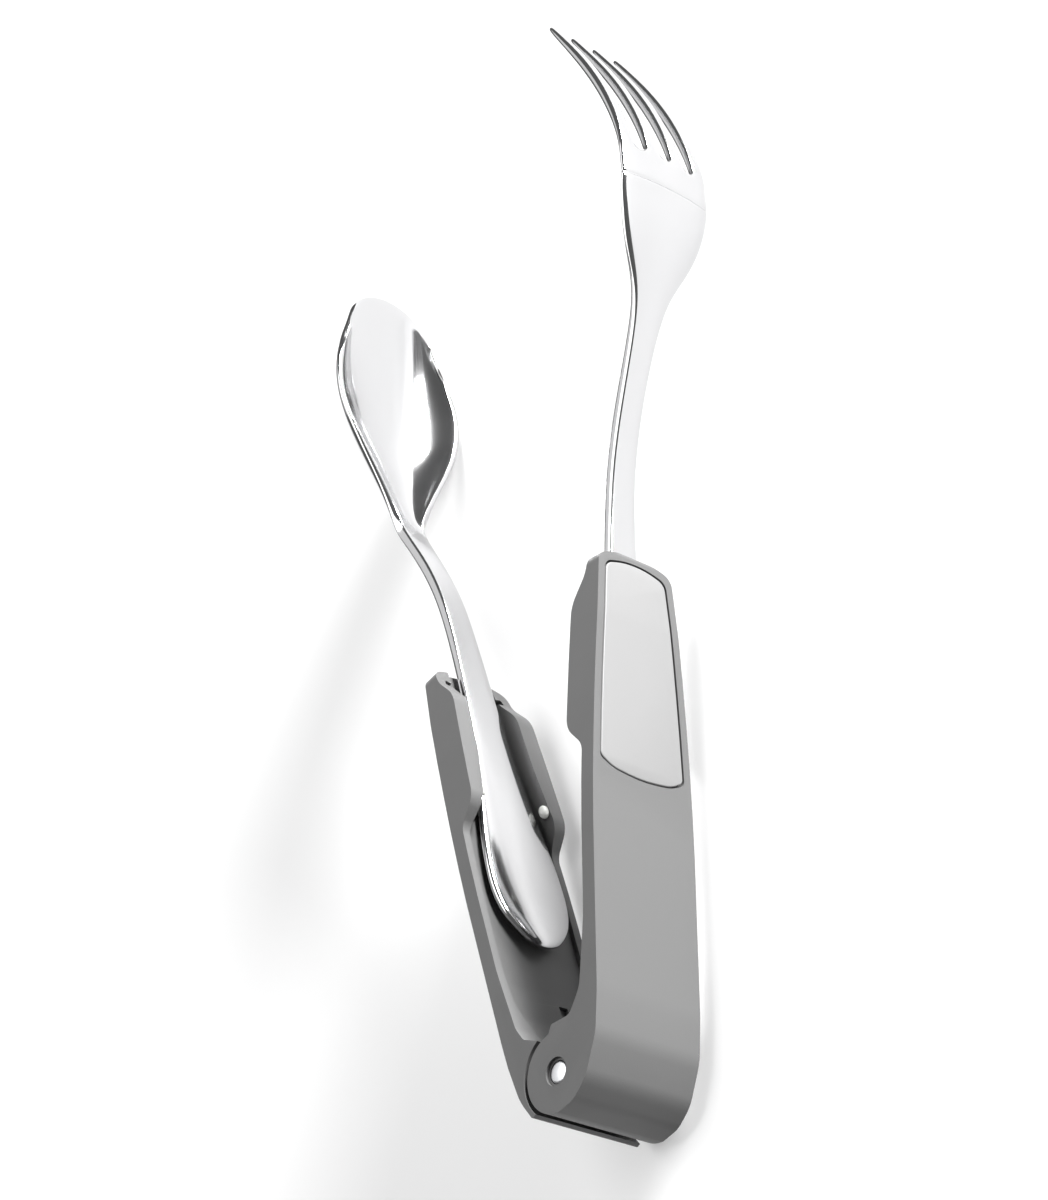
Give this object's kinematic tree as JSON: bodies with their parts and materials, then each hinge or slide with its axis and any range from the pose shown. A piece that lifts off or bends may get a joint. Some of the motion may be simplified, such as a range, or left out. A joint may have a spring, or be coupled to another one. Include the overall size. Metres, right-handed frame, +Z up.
{
  "type": "picnic cutlery",
  "caption": "Sprung hinged tongs holder with a fork and a spoon clipped into its two arms, standing open on its side.",
  "frame": {"origin": "on the hinge pin's axis, in the plane of the arms' underside (the pin cap's flat end)", "axes": "+Z up the hinge axis toward the visible pin end; +Y along the bisector of the two arms, from the hinge to the utensils; +X toward the fork arm"},
  "size_m": [0.0965, 0.2415, 0.0342],
  "materials": {
    "grey_moulded_plastic": "satin",
    "light_panel_plastic": "satin",
    "pale_nub_plastic": "satin",
    "polished_steel": "mirror polished",
    "spring_steel": "drawn wire",
    "grey_bush_plastic": "satin",
    "dark_washer_nylon": "matt"
  },
  "bodies": {
    "fork_arm_body": {"fork_arm": "grey_moulded_plastic", "fork_arm_panel": "light_panel_plastic", "hinge_pin": "polished_steel", "hinge_pin_cap": "polished_steel", "spring_bush": "grey_bush_plastic", "thrust_washer_upper": "dark_washer_nylon", "thrust_washer_lower": "dark_washer_nylon", "fork_arm_nub_upper": "pale_nub_plastic", "fork_arm_nub_lower": "pale_nub_plastic", "torsion_spring": "spring_steel"},
    "spoon_arm_body": {"spoon_arm": "grey_moulded_plastic", "spoon_arm_panel": "light_panel_plastic", "spoon_arm_nub_upper": "pale_nub_plastic", "spoon_arm_nub_lower": "pale_nub_plastic"},
    "fork_body": {"fork": "polished_steel"},
    "spoon_body": {"spoon": "polished_steel"}
  },
  "joints": [
    {"name": "hinge", "type": "hinge", "parent": "fork_arm_body", "child": "spoon_arm_body", "pos_m": [0, 0, 0.013], "axis": [0, 0, -1], "range_deg": [0, 16], "stiffness_Nm_per_rad": 0.35, "springref_deg": -28.65, "deforming": ["torsion_spring"]},
    {"name": "fork_release", "type": "slide", "parent": "fork_arm_body", "child": "fork_body", "axis": [-0.9884, 0.1521, 0], "range_m": [0, 0.0045]},
    {"name": "spoon_release", "type": "slide", "parent": "spoon_arm_body", "child": "spoon_body", "axis": [0.9884, 0.1521, 0], "range_m": [0, 0.0045]}
  ]
}
